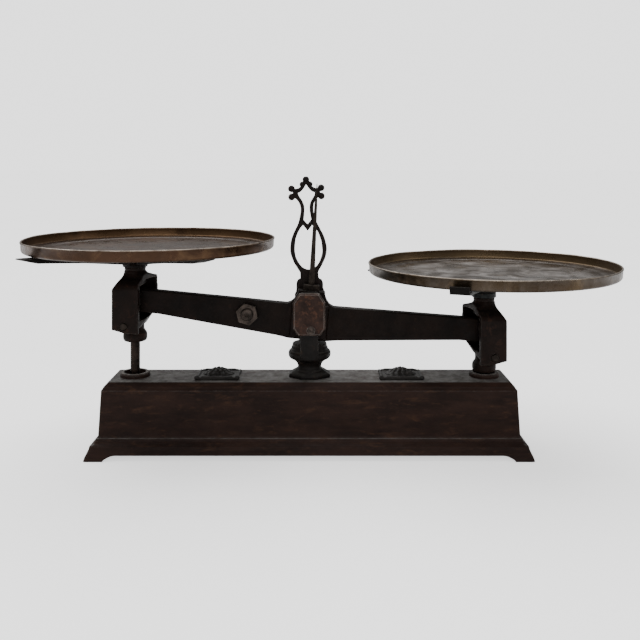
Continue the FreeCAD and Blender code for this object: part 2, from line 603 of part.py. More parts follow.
def carrier_casting():
    """A hood round the beam's end: outer wall, front and rear walls, roof, post and lower collar."""
    half, deep = CARRIER_HALF, CARRIER_HALF_DEPTH
    wall_y = deep - CARRIER_WALL
    shape = hood_blank()
    shape = shape.cut(box(-half - 1, CAVITY_HALF, -wall_y, wall_y, FLOOR_TOP, CAVITY_TOP))
    arch = [(-wall_y, 10.0), (-wall_y, 14.6), (-15.6, 17.0), (-11.0, 19.0), (-6.0, 20.2), (2.0, 20.9),
            (wall_y - 1.5, 20.2), (wall_y, 18.8), (wall_y, 10.0)]
    shape = shape.cut(prism_x(arch, -half - 1, ARCH_DEEP_X))
    slant = [V(x, y, PANEL_BOTTOM - 2) for x, y in
             ((FRONT_PANEL_INNER, -deep), (FRONT_PANEL_INNER, -deep - 1), (-half - 1, -deep - 1),
              (-half - 1, deep), (-half, deep), (FRONT_PANEL_INNER, -deep))]
    shape = shape.cut(Part.Face(Part.makePolygon(slant)).extrude(V(0, 0, 80)))
    diagonal = [(-half - 1, PANEL_BOTTOM - 1), (-6, PANEL_BOTTOM - 1), (-half - 1, -8)]
    shape = shape.cut(prism_y(diagonal, -deep - 1, deep + 1))
    sag = [(half - 2.4, PANEL_BOTTOM + 0.1), (-8.0, PANEL_BOTTOM + 0.1), (-8.0, -30.8), (6.0, -29.9)]
    shape = shape.fuse(prism_y(sag, -deep, -wall_y))
    post = [(0, 20), (POST_R - 0.2, 20), (POST_R - 0.2, POST_BASE + 0.8), (POST_R + 0.3, POST_BASE + 2.6),
            (POST_R + 0.3, POST_BASE + 4.6), (POST_R - 0.5, POST_BASE + 5.4), (POST_R - 0.5, POST_BASE + 6.2),
            (POST_R, POST_BASE + 7.0), (POST_R - 0.2, POST_TOP), (0, POST_TOP)]
    collar = [(0, FLOOR_TOP), (9.0, FLOOR_TOP), (9.0, -29.0), (10.2, COLLAR_TOP + 0.6),
              (COLLAR_R - 0.5, COLLAR_TOP - 0.8), (COLLAR_R, COLLAR_TOP - 3.0), (COLLAR_R, COLLAR_BOTTOM + 3.2),
              (COLLAR_R - 0.7, COLLAR_BOTTOM + 1.0), (COLLAR_R - 2.2, COLLAR_BOTTOM), (0, COLLAR_BOTTOM)]
    peg = cylinder_z(0, 0, PEG_R, POST_TOP - 1, POST_TOP + PEG_H)
    shape = fused(shape, turned(post), turned(collar), peg)
    shape = shape.cut(cylinder_z(0, 0, ROD_R, COLLAR_BOTTOM - 1, ROD_SOCKET_TOP))
    return shape.cut(cylinder_y(*CARRIER_PIN, CARRIER_PIN_R, -deep - 2, deep + 2))


def end_seats():
    """Two inverted steel Vs, fixed in the carrier's front and rear walls, which hang on the end knife."""
    seats = []
    for sign in (-1, 1):
        y0, y1 = sorted((sign * END_SEAT_Y[0], sign * END_SEAT_Y[1]))
        block = box(-7.3, 7.3, y0, y1, -4, 9)
        drop = 6.0
        run = drop * math.tan(math.radians(SEAT_HALF_ANGLE))
        seats.append(block.cut(prism_y([(0, 0), (run, -drop), (-run, -drop)], y0 - 1, y1 + 1)))
    return Part.makeCompound(seats)


def carrier_pin():
    deep = CARRIER_HALF_DEPTH
    pin = cylinder_y(*CARRIER_PIN, CARRIER_PIN_R, -deep - 0.9, deep + 0.9)
    return pin.makeChamfer(0.7, [e for e in pin.Edges if e.BoundBox.YLength < 0.01])


FORK_R = 6.0
FORK_INNER = 4.6
FORK_OUTER = 7.8
FORK_BRIDGE = (8.2, 13.5)


def guide_rod():
    """The upright rod, with a forked foot that straddles the counter-beam's eye."""
    foot = -LINK_DROP
    low, high = FORK_BRIDGE
    shaft = cylinder_z(0, 0, ROD_R, foot + low, ROD_SOCKET_TOP)
    bridge = box(-FORK_R, FORK_R, -FORK_OUTER, FORK_OUTER, foot + low, foot + high)
    cheeks = []
    for sign in (-1, 1):
        y0, y1 = sorted((sign * FORK_INNER, sign * FORK_OUTER))
        cheeks.append(box(-FORK_R, FORK_R, y0, y1, foot, foot + low + 1))
        cheeks.append(cylinder_y(0, foot, FORK_R, y0, y1))
    shape = fused(shaft, bridge, *cheeks)
    return shape.cut(cylinder_y(0, foot, LINK_PIN_R, -20, 20))


def link_pin():
    pin = cylinder_y(0, -LINK_DROP, LINK_PIN_R, -FORK_OUTER - 1.2, FORK_OUTER)
    return fused(pin, cylinder_y(0, -LINK_DROP, 4.4, -FORK_OUTER - 2.2, -FORK_OUTER))


def hub_bottom(side):
    return POST_TOP + (RIGHT_WASHER_T if side == "right" else 0.0)


def post_washer():
    washer = cylinder_z(0, 0, WASHER_R, POST_TOP, POST_TOP + RIGHT_WASHER_T)
    rims = [e for e in washer.Edges if e.BoundBox.ZLength < 0.01]
    washer = washer.makeChamfer(0.6, rims)
    return washer.cut(cylinder_z(0, 0, PEG_R + RUN, POST_TOP - 1, POST_TOP + 20))


def cross_arm(reach, bent):
    """One arm along +X: flat on top, deep at the hub and rising underneath to a thin flared tip."""
    top = CROSS_ARM_TOP
    side = [(0, 0.6), (14, 3.2), (57, 8.4), (80, 10.4), (105, 12.4), (reach - 8, 14.0), (reach, 16.2),
            (reach, top), (0, top)]
    web = prism_y(side, -10, 10)
    plan = [(0, -6.5), (60, -5.2), (100, -6.4), (reach - 1.5, -8.8), (reach, -7.2)]
    plan = plan + [(x, -y) for x, y in reversed(plan)]
    wire = Part.makePolygon([V(x, y, -1) for x, y in plan + plan[:1]])
    arm = web.common(Part.Face(wire).extrude(V(0, 0, top + 5)))
    if not bent:
        return arm
    root = reach - 8.0
    lug = [(root, 14.2), (123.2, 15.4), (124.8, 22.4), (122.8, 22.6), (121.8, top), (root, top)]
    return fused(arm, prism_y(lug, -8.8, 8.8))


def pan_cross(side):
    base = hub_bottom(side)
    arms = []
    for quarter in (0, 90, 180, 270):
        arm = cross_arm(CROSS_REACH[side], quarter == CROSS_BENT_ARM[side])
        arm.rotate(V(0, 0, 0), V(0, 0, 1), CROSS_TURN[side] + quarter)
        arms.append(arm)
    hub = turned([(0, 0), (12.0, 0), (12.4, 1.6), (16.5, 6.0), (17.5, CROSS_ARM_TOP), (0, CROSS_ARM_TOP)])
    shape = fused(hub, *arms)
    shape.translate(V(0, 0, base))
    return shape.cut(cylinder_z(0, 0, PEG_R + RUN, base - 1, POST_TOP + PEG_H + 1.0))


def pan(side):
    """A round sheet-brass pan: a sunk floor, a narrow ledge and an upright rim with a small rolled edge."""
    t = PAN_SHEET[side]
    well = PAN_WELL_R
    drop = PAN_WELL_DROP
    outer = [(0, -drop), (well - 1.2, -drop), (well, -drop + 0.8), (well + 2.4, -0.8), (well + 3.6, 0.0),
             (PAN_R - 3.6, 0.0), (PAN_R - 1.7, 0.8), (PAN_R - 0.9, 2.6), (PAN_R - 0.2, PAN_RIM_H - 1.6),
             (PAN_R, PAN_RIM_H - 1.2), (PAN_R, PAN_RIM_H - 0.3), (PAN_R - 0.4, PAN_RIM_H)]
    inner = [(PAN_R - t - 0.6, PAN_RIM_H), (PAN_R - t - 0.4, PAN_RIM_H - 1.8), (PAN_R - t - 0.9, 3.0),
             (PAN_R - t - 1.7, t + 0.8), (PAN_R - t - 2.9, t), (well + 3.2, t), (well + 1.7, t - 0.8),
             (well - 0.6, -drop + t + 0.5), (well - 1.8, -drop + t), (0, -drop + t)]
    return turned(outer + inner)


def pan_floor_z(side):
    """The height of a pan's zero, its ledge's underside, above the carrier's knife axis."""
    return hub_bottom(side) + CROSS_ARM_TOP + PAN_WELL_DROP


def placed_pan(side):
    sign = SIDES[side]
    shape = pan(side)
    x = sign * ROD_X + PAN_OFFSET[side]
    shape.translate(V(x, 0, KNIFE_Z - sign * ROD_RISE + pan_floor_z(side)))
    return shape


# ---- the whole -------------------------------------------------------------------------------------------
def all_parts():
    parts = {
        "base_casting": base_casting(),
        "left_ornament": ornament(-1),
        "right_ornament": ornament(1),
        "column": column(),
        "front_seat": centre_seat(-1),
        "rear_seat": centre_seat(1),
        "front_cover_plate": cover_plate(-1),
        "rear_cover_plate": cover_plate(1),
        "front_cover_screw": cover_screw(-1),
        "rear_cover_screw": cover_screw(1),
        "lyre_frame": lyre_frame(),
        "lyre_screws": lyre_screws(),
        "pivot_bracket": pivot_bracket(),
        "column_washer": column_washer(),
        "column_nut": column_nut(),
        "pivot_pin": pivot_pin(),
        "counter_beam": counter_beam(),
        "beam_casting": beam_casting(),
        "centre_knife": centre_knife(),
        "adjuster_nut": adjuster_nut(),
        "adjuster_stud": adjuster_stud(),
        "pointer_block": pointer_block(),
        "pointer": pointer(),
    }
    for side, sign in SIDES.items():
        parts[side + "_knife"] = end_knife(sign)
        parts[side + "_carrier"] = carried(carrier_casting(), side)
        parts[side + "_seats"] = carried(end_seats(), side)
        parts[side + "_carrier_pin"] = carried(carrier_pin(), side)
        parts[side + "_guide_rod"] = carried(guide_rod(), side)
        parts[side + "_link_pin"] = carried(link_pin(), side)
        cross = pan_cross(side)
        cross.translate(V(sign * ROD_X, 0, KNIFE_Z - sign * ROD_RISE))
        parts[side + "_pan_cross"] = cross
        parts[side + "_pan"] = placed_pan(side)
    parts["right_washer"] = carried(post_washer(), "right")
    return parts


for name, shape in all_parts().items():
    bounds = shape.BoundBox
    solids = len(shape.Solids)
    print(f"{name:20s} solids {solids} valid {shape.isValid()} volume {shape.Volume:11.1f} "
          f"x {bounds.XMin:7.1f} {bounds.XMax:7.1f} y {bounds.YMin:6.1f} {bounds.YMax:6.1f} "
          f"z {bounds.ZMin:6.1f} {bounds.ZMax:6.1f}")
    shape.exportStep(os.path.join("parts", name + ".step"))
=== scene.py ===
"""Looks of the equal arm balance scale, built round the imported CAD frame. Metres, +Z up, the front at -Y."""
import json
import math

import bmesh
import bpy
from mathutils import Matrix, Vector, noise


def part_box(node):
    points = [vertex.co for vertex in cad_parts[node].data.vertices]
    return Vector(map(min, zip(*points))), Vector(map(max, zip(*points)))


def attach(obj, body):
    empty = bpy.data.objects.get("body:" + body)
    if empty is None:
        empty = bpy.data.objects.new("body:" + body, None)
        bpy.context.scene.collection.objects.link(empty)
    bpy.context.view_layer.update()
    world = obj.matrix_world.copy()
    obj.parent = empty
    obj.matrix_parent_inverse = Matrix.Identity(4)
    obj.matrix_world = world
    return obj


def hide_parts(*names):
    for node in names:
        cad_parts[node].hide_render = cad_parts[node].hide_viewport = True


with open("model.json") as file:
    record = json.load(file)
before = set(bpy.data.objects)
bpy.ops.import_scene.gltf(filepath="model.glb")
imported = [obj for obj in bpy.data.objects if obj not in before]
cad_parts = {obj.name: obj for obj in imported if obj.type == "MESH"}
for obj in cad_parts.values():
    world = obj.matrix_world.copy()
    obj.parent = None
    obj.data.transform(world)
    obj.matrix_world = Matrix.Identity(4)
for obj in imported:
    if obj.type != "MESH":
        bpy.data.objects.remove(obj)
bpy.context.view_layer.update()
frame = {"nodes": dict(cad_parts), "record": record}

MM = 0.001
NODES = frame["nodes"]
RECORD = frame["record"]
BODY_OF = {n: body for body, names in RECORD["behaviour"]["bodies"].items() for n in names}
SLOT_OF = {s["node"]: s["material_slot"] for s in RECORD["subparts"]}
MATERIALS = {}           # every finish, by the name of its slot


# ---- small helpers ---------------------------------------------------------------------------------------
def link(obj):
    bpy.context.scene.collection.objects.link(obj)
    return obj


def shade(obj, material, smooth=True):
    obj.data.materials.clear()
    obj.data.materials.append(material)
    for poly in obj.data.polygons:
        poly.use_smooth = smooth
    return obj


def applied(obj):
    """Bakes an object's modifiers into its mesh."""
    graph = bpy.context.evaluated_depsgraph_get()
    mesh = bpy.data.meshes.new_from_object(obj.evaluated_get(graph))
    obj.modifiers.clear()
    obj.data = mesh
    return obj


def placed(obj, node):
    """The piece stands for a CAD node: it rides on the same body and takes its finish from the same slot."""
    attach(obj, BODY_OF[node])
    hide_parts(node)
    return shade(obj, MATERIALS[SLOT_OF[node]])


# ---- node-based materials --------------------------------------------------------------------------------
class Nodes:
    """A thin wrapper that makes and joins shader nodes."""

    def __init__(self, slot):
        self.slot = slot
        self.material = bpy.data.materials.new(slot)
        self.material.use_nodes = True
        self.tree = self.material.node_tree
        self.tree.nodes.clear()
        self.out = self.add("ShaderNodeOutputMaterial")
        self.shader = self.add("ShaderNodeBsdfPrincipled")
        self.join(self.shader.outputs[0], self.out.inputs[0])
        self.place = self.add("ShaderNodeTexCoord").outputs["Object"]
        self.geometry = self.add("ShaderNodeNewGeometry")

    def add(self, kind, **settings):
        node = self.tree.nodes.new(kind)
        for key, value in settings.items():
            setattr(node, key, value)
        return node

    def join(self, source, target):
        self.tree.links.new(source, target)

    def stretched(self, scale):
        mapping = self.add("ShaderNodeMapping")
        mapping.inputs["Scale"].default_value = scale
        self.join(self.place, mapping.inputs["Vector"])
        return mapping.outputs[0]

    def noise(self, scale, detail=6.0, rough=0.55, place=None, distortion=0.0):
        node = self.add("ShaderNodeTexNoise")
        node.inputs["Scale"].default_value = scale
        node.inputs["Detail"].default_value = detail
        node.inputs["Roughness"].default_value = rough
        node.inputs["Distortion"].default_value = distortion
        self.join(place or self.place, node.inputs["Vector"])
        return node.outputs[0]

    def voronoi(self, scale, feature="F1", place=None):
        node = self.add("ShaderNodeTexVoronoi", feature=feature)
        node.inputs["Scale"].default_value = scale
        self.join(place or self.place, node.inputs["Vector"])
        return node.outputs[0]

    def ramp(self, source, low, high, a=0.0, b=1.0):
        node = self.add("ShaderNodeMapRange")
        node.inputs["From Min"].default_value = low
        node.inputs["From Max"].default_value = high
        node.inputs["To Min"].default_value = a
        node.inputs["To Max"].default_value = b
        self.join(source, node.inputs["Value"])
        return node.outputs[0]

    def math(self, kind, a, b):
        node = self.add("ShaderNodeMath", operation=kind)
        for socket, value in zip(node.inputs, (a, b)):
            if isinstance(value, (int, float)):
                socket.default_value = value
            else:
                self.join(value, socket)
        return node.outputs[0]

    def vectors(self, kind, a, b):
        """A vector sum on a socket a and b, which is a socket or a fixed vector."""
        node = self.add("ShaderNodeVectorMath", operation=kind)
        self.join(a, node.inputs[0])
        if isinstance(b, tuple):
            node.inputs[1].default_value = b
        else:
            self.join(b, node.inputs[1])
        return node

    def mix(self, share, a, b):
        """Colours a and b, each a tuple or a socket, mixed by share."""
        node = self.add("ShaderNodeMix", data_type="RGBA")
        self.join(share, node.inputs["Factor"])
        for socket, value in ((node.inputs[6], a), (node.inputs[7], b)):
            if isinstance(value, tuple):
                socket.default_value = (*value, 1.0)
            else:
                self.join(value, socket)
        return node.outputs[2]

    def bump(self, height, strength, distance, under=None):
        node = self.add("ShaderNodeBump")
        node.inputs["Strength"].default_value = strength
        node.inputs["Distance"].default_value = distance
        self.join(height, node.inputs["Height"])
        if under is not None:
            self.join(under, node.inputs["Normal"])
        return node.outputs[0]

    def rounded(self, radius):
        """The normal as if every edge were rounded off, and a mask that is 1 along those edges."""
        bevel = self.add("ShaderNodeBevel", samples=6)
        bevel.inputs["Radius"].default_value = radius
        agree = self.vectors("DOT_PRODUCT", bevel.outputs[0], self.geometry.outputs["Normal"])
        return bevel.outputs[0], self.ramp(agree.outputs["Value"], 0.99, 0.92)

    def height(self):
        """How high a point lies on the object at rest."""
        split = self.add("ShaderNodeSeparateXYZ")
        self.join(self.place, split.inputs[0])
        return split.outputs[2]

    def facing_up(self, low, high):
        """0 where the surface's upward share is under low, 1 where it is over high."""
        split = self.add("ShaderNodeSeparateXYZ")
        self.join(self.geometry.outputs["Normal"], split.inputs[0])
        return self.ramp(split.outputs[2], low, high)

    def finish(self, colour, rough, normal, metallic=0.0, specular=0.5):
        """Connects the sockets, or sets those that are the same all over, and files the finished material."""
        for name, value in (("Base Color", colour), ("Roughness", rough), ("Metallic", metallic)):
            if isinstance(value, float):
                self.shader.inputs[name].default_value = value
            else:
                self.join(value, self.shader.inputs[name])
        self.shader.inputs["Specular IOR Level"].default_value = specular
        self.join(normal, self.shader.inputs["Normal"])
        MATERIALS[self.slot] = self.material
        return self.material


# worn iron, also painted on the rings' tops as a highlight
WORN_IRON_AND_HIGHLIGHT = (0.25, 0.225, 0.205)
# worn brass, also painted on the pans' rim tops as a highlight
WORN_BRASS_AND_HIGHLIGHT = (0.42, 0.36, 0.3)
GREY_FILM = (0.05, 0.049, 0.046)
STEEL_RUST = (0.05, 0.025, 0.015)
EVEN = (1.0, 1.0, 1.0)


def brighter(colour, times, more):
    return tuple(min(1.0, part * times + more) for part in colour)


def cast_iron(name, dark, brown, rust, rust_share=0.6, edge=0.9 * MM, rub=0.7, film=GREY_FILM, filmy=0.5,
              streak=EVEN, rough=(0.36, 0.58), pitting=0.4, upward=0.45, worn_and_highlit_above=None, specular=0.09):
    """Old painted cast iron: mottled dark paint, rust showing through, greyed tops and rubbed edges.

    rust_share is the noise level where rust begins, so a lower one shows more rust. rub and filmy say how
    strong the bare edges and the greyed tops are. Above the height worn_and_highlit_above the iron is worn as
    on an edge and also painted lighter as a highlight.
    """
    n = Nodes(name)
    soft_edge, edges = n.rounded(edge)
    grain_place = n.stretched(streak)
    mottle = n.noise(46.0, 8.0, 0.62, grain_place)
    colour = n.mix(n.ramp(mottle, 0.36, 0.66), dark, brown)
    patches = n.ramp(n.noise(110.0, 9.0, 0.68, grain_place, 0.4), rust_share, rust_share + 0.14)
    colour = n.mix(patches, colour, rust)
    specks = n.ramp(n.voronoi(900.0), 0.0, 0.22, 1.0, 0.0)
    rare = n.ramp(n.noise(140.0, 3.0), 0.56, 0.64)
    colour = n.mix(n.math("MULTIPLY", specks, rare), colour, brighter(rust, 2.0, 0.01))
    top = n.facing_up(upward, 0.95)
    greyed = n.math("MULTIPLY", top, n.ramp(n.noise(95.0, 9.0, 0.72), 0.38, 0.6, filmy * 0.3, filmy))
    colour = n.mix(greyed, colour, film)
    rubbed_and_highlit = n.math("MULTIPLY", edges, n.ramp(n.noise(130.0, 5.0, 0.6), 0.38, 0.62, rub * 0.3, rub))
    # Above the given height the iron is lightened like a worn edge: partly wear, partly a painted highlight on
    # the rings' tops.
    if worn_and_highlit_above is not None:
        high = n.ramp(n.height(), worn_and_highlit_above, worn_and_highlit_above + 0.4 * MM, 0.0, 0.6)
        rubbed_and_highlit = n.math("MAXIMUM", rubbed_and_highlit, n.math("MULTIPLY", high, n.ramp(n.noise(190.0, 5.0), 0.4, 0.6)))
    colour = n.mix(rubbed_and_highlit, colour, WORN_IRON_AND_HIGHLIGHT)
    roughness = n.ramp(n.noise(120.0, 6.0), 0.3, 0.7, *rough)
    pits = n.noise(420.0, 10.0, 0.7)
    grain = n.noise(1500.0, 4.0, 0.6)
    normal = n.bump(grain, 0.2, 0.15 * MM, n.bump(pits, pitting, 0.5 * MM, soft_edge))
    return n.finish(colour, roughness, normal, n.ramp(rubbed_and_highlit, 0.0, 1.0, 0.0, 0.3), specular=specular)


def worn_steel(name, dark, light, rust_share=0.6):
    """Handled steel: a brownish film, fine scratches and a little rust in spots."""
    n = Nodes(name)
    soft_edge, edges = n.rounded(0.5 * MM)
    colour = n.mix(n.ramp(n.noise(180.0, 7.0, 0.6), 0.35, 0.65), dark, light)
    spots = n.ramp(n.noise(260.0, 8.0, 0.7), rust_share, rust_share + 0.1)
    colour = n.mix(spots, colour, STEEL_RUST)
    colour = n.mix(n.math("MULTIPLY", edges, 0.5), colour, brighter(light, 1.7, 0.02))
    scratches = n.noise(600.0, 3.0, 0.5, n.stretched((1.0, 1.0, 9.0)))
    roughness = n.math("ADD", n.ramp(scratches, 0.3, 0.7, 0.3, 0.5), n.math("MULTIPLY", spots, 0.2))
    normal = n.bump(scratches, 0.2, 0.2 * MM, n.bump(n.noise(350.0, 6.0), 0.3, 0.3 * MM, soft_edge))
    return n.finish(colour, roughness, normal, n.ramp(spots, 0.0, 1.0, 0.9, 0.2))


def old_brass(name, deep, warm, gold, pale, stain_and_shade, side):
    """Tarnished sheet brass: drifting brown and gold patches and dull spots.

    The floor has a paler bloom and a band of painted shade round it, the wall is painted a lighter gold inside
    as painted light, and the rim's top is worn and also painted lighter as a highlight.
    """
    n = Nodes(name)
    low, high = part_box(side + "_pan")
    centre = ((low.x + high.x) / 2, (low.y + high.y) / 2, 0.0)
    flat = n.vectors("MULTIPLY", n.place, (1.0, 1.0, 0.0)).outputs[0]
    radius = n.vectors("DISTANCE", flat, centre).outputs["Value"]
    spoke = n.vectors("SUBTRACT", flat, centre).outputs[0]
    outward = n.vectors("DOT_PRODUCT", spoke, n.geometry.outputs["Normal"]).outputs["Value"]
    top = n.facing_up(0.5, 0.9)
    colour = n.mix(n.ramp(n.noise(16.0, 8.0, 0.6, None, 0.8), 0.34, 0.64), deep, warm)
    colour = n.mix(n.ramp(n.noise(27.0, 9.0, 0.7, None, 1.2), 0.5, 0.68, 0.0, 0.8), colour, gold)
    bloom = n.ramp(n.noise(42.0, 9.0, 0.66, None, 0.5), 0.42, 0.66)
    colour = n.mix(n.math("MULTIPLY", bloom, n.ramp(top, 0.0, 1.0, 0.12, 1.0)), colour, pale)
    # Painted shade: the floor is darkened in a band next to the wall, in the same dark colour as the stains.
    wave = n.math("ADD", radius, n.math("MULTIPLY", n.noise(30.0, 4.0), 0.016))
    painted_wall_shade = n.math("MULTIPLY", n.ramp(wave, 0.098, 0.114), top)
    colour = n.mix(n.math("MULTIPLY", painted_wall_shade, 0.7), colour, stain_and_shade)
    # Painted light: the inside of the wall is coloured a lighter gold than the outside.
    painted_light_inner_wall = n.ramp(outward, -0.03, -0.08, 0.0, 0.8)
    colour = n.mix(painted_light_inner_wall, colour, gold)
    drops = n.ramp(n.voronoi(34.0, "SMOOTH_F1"), 0.1, 0.3, 1.0, 0.0)
    few = n.ramp(n.noise(13.0, 2.0), 0.54, 0.6)
    colour = n.mix(n.math("MULTIPLY", n.math("MULTIPLY", drops, few), 0.6), colour, stain_and_shade)
    fine = n.noise(380.0, 6.0, 0.7)
    colour = n.mix(n.ramp(fine, 0.62, 0.74, 0.0, 0.5), colour, stain_and_shade)
    # The rim's top is worn, and it is also painted lighter there as a highlight.
    rim = n.ramp(n.height(), high.z - 1.5 * MM, high.z - 0.7 * MM)
    rim = n.math("MULTIPLY", rim, n.ramp(n.noise(60.0, 6.0, 0.7), 0.36, 0.6, 0.15, 0.85))
    colour = n.mix(rim, colour, WORN_BRASS_AND_HIGHLIGHT)
    rough = n.ramp(n.noise(55.0, 8.0, 0.6), 0.3, 0.7, 0.2, 0.42)
    rough = n.math("ADD", rough, n.math("MULTIPLY", n.ramp(fine, 0.5, 0.7), 0.12))
    dents = n.bump(n.noise(24.0, 2.0, 0.4), 0.3, 3.0 * MM)
    normal = n.bump(n.noise(900.0, 4.0, 0.6), 0.12, 0.2 * MM, dents)
    return n.finish(colour, rough, normal, 0.78, specular=0.3)


FLOOR_GLOW = 1.05        # what the camera sees on top of the floor's own light, to match the backdrop


def stage_white():
    """A matt near-white floor, which glows to the camera alone, so it lights nothing."""
    n = Nodes("studio_white")
    colour = n.mix(n.ramp(n.noise(3.0, 2.0), 0.3, 0.7), (0.86, 0.86, 0.86), (0.9, 0.9, 0.9))
    seen = n.add("ShaderNodeLightPath").outputs["Is Camera Ray"]
    n.shader.inputs["Emission Color"].default_value = (1, 1, 1, 1)
    n.join(n.math("MULTIPLY", seen, FLOOR_GLOW), n.shader.inputs["Emission Strength"])
    return n.finish(colour, 0.9, n.bump(n.noise(60.0, 3.0), 0.02, 0.5 * MM), specular=0.1)


RING_WORN_AND_HIGHLIT_FROM = 73.2 * MM    # the height over which the rings round the rod holes are worn bare and also painted lighter as a highlight


def make_irons():
    """Every iron finish: its dark and brown paint, the rust under it, and how it is worn."""
    cast_iron("base_iron", (0.017, 0.0098, 0.008), (0.034, 0.0178, 0.0132), (0.052, 0.0265, 0.0165), 0.55,
              streak=(0.45, 1.0, 1.7), film=(0.2, 0.195, 0.185), filmy=0.9, rub=0.6, pitting=0.7, upward=0.85,
              worn_and_highlit_above=RING_WORN_AND_HIGHLIT_FROM)
    cast_iron("ornament_iron", (0.009, 0.0085, 0.008), (0.024, 0.021, 0.019), (0.05, 0.028, 0.019), 0.62,
              film=(0.09, 0.086, 0.082), rub=1.0, edge=0.6 * MM, upward=0.55, specular=0.16, rough=(0.3, 0.5))
    cast_iron("column_iron", (0.005, 0.0042, 0.0038), (0.0125, 0.0098, 0.0085), (0.035, 0.02, 0.013), 0.58,
              film=(0.07, 0.066, 0.06), filmy=0.7, rub=1.0, edge=1.0 * MM, specular=0.12, rough=(0.3, 0.5))
    cast_iron("lyre_iron", (0.0085, 0.0062, 0.0055), (0.017, 0.0105, 0.0088), (0.034, 0.016, 0.011),
              filmy=0.3, rub=0.3)
    cast_iron("beam_iron", (0.0048, 0.003, 0.0023), (0.0118, 0.0066, 0.0047), (0.022, 0.011, 0.007),
              filmy=0.35, rub=0.5)
    cast_iron("carrier_iron", (0.0075, 0.0049, 0.0039), (0.017, 0.0094, 0.0069), (0.034, 0.016, 0.0105), 0.55,
              filmy=0.25, rub=1.0, edge=1.3 * MM)
    cast_iron("cross_iron", (0.003, 0.0023, 0.0019), (0.0075, 0.005, 0.004), (0.018, 0.01, 0.007), 0.58,
              filmy=0.05, rub=0.2)
    cast_iron("rusty_plate", (0.021, 0.0125, 0.01), (0.046, 0.0255, 0.0195), (0.085, 0.04, 0.026), 0.52,
              filmy=0.3, rub=1.0, edge=1.5 * MM, streak=(2.0, 2.0, 2.0))


def make_steels():
    """Every steel finish: its dark film and the lighter metal."""
    worn_steel("worn_steel", (0.02, 0.016, 0.0135), (0.08, 0.062, 0.052))
    worn_steel("dark_steel", (0.011, 0.0085, 0.007), (0.034, 0.026, 0.021))
    worn_steel("bright_steel", (0.03, 0.028, 0.026), (0.08, 0.075, 0.07), 0.7)
    worn_steel("rod_steel", (0.009, 0.007, 0.006), (0.03, 0.02, 0.0155), 0.55)
    worn_steel("washer_steel", (0.009, 0.0092, 0.0092), (0.028, 0.03, 0.03))


def make_brasses():
    """The left pan's copper-brown brass, and the right pan's olive brass with its pale floor."""
    old_brass("copper_brass", deep=(0.036, 0.0185, 0.0105), warm=(0.072, 0.036, 0.02),
              gold=(0.135, 0.078, 0.039), pale=(0.055, 0.044, 0.036), stain_and_shade=(0.026, 0.0145, 0.0085),
              side="left")
    old_brass("olive_brass", deep=(0.03, 0.0195, 0.011), warm=(0.06, 0.04, 0.023),
              gold=(0.13, 0.088, 0.047), pale=(0.36, 0.33, 0.31), stain_and_shade=(0.03, 0.019, 0.011), side="right")


make_irons()
make_steels()
make_brasses()
for name, node in NODES.items():
    node.data.materials.clear()
    node.data.materials.append(MATERIALS[SLOT_OF[name]])


# ---- castings: dense copies of CAD nodes with softened edges ---------------------------------------------
LUMP_PITCH = 140.0       # unevenness of the castings, in waves per metre


def recast(node, voxel, passes, lumps=0.08 * MM):
    """A dense, slightly uneven copy of a casting, with its sharp edges worn round.

    lumps is how far the surface is sunk at most. Below zero it swells instead, which makes good what the
    remesh takes off a slender casting.
    """
    obj = link(bpy.data.objects.new(node + "_cast", NODES[node].data.copy()))
    remesh = obj.modifiers.new("remesh", "REMESH")
    remesh.mode = "VOXEL"
    remesh.voxel_size = voxel
    smooth = obj.modifiers.new("smooth", "SMOOTH")
    smooth.factor = 0.5
    smooth.iterations = passes
    applied(obj)
    normals = [vertex.normal.copy() for vertex in obj.data.vertices]
    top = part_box(node)[1].z
    for vertex, normal in zip(obj.data.vertices, normals):
        sunk = 0.5 + 0.5 * noise.noise(vertex.co * LUMP_PITCH)
        vertex.co -= normal * lumps * sunk
        vertex.co.z = min(vertex.co.z, top)
    return placed(obj, node)


recast("column", 0.52 * MM, 1, 0.05 * MM)
recast("beam_casting", 0.75 * MM, 2)
recast("lyre_frame", 0.4 * MM, 1, -0.5 * MM)
for side in ("left", "right"):
    recast(side + "_carrier", 0.6 * MM, 3)


# ---- pans ------------------------------------------------------------------------------------------------
def arc(x, z, r, start, end, steps):
    """Points of (radius, height) along an arc, with its angles in degrees."""
    points = []
    for i in range(steps + 1):
        a = math.radians(start + (end - start) * i / steps)
        points.append((x + r * math.cos(a), z + r * math.sin(a)))
    return points


PAN_STEPS = 288
PAN_THICK = {"left": 1.2 * MM, "right": 1.3 * MM}
PAN_SEED = {"left": Vector((7.3, 1.1, 0.0)), "right": Vector((2.9, 8.7, 0.0))}
PAN_DROP = 1.2 * MM      # how far the floor is sunk below the ledge round it
PAN_LEDGE = 15.5 * MM    # from the rim in to the sunk floor
PAN_BEAD_R = 1.0 * MM
PAN_WALL_IN = 0.9 * MM   # the wall's outside, in from the bead's
PAN_CORNER_R = 3.2 * MM
RIM_WANDER = 0.35 * MM
RIM_SAG = 0.45 * MM
FLOOR_DENT = 0.30 * MM


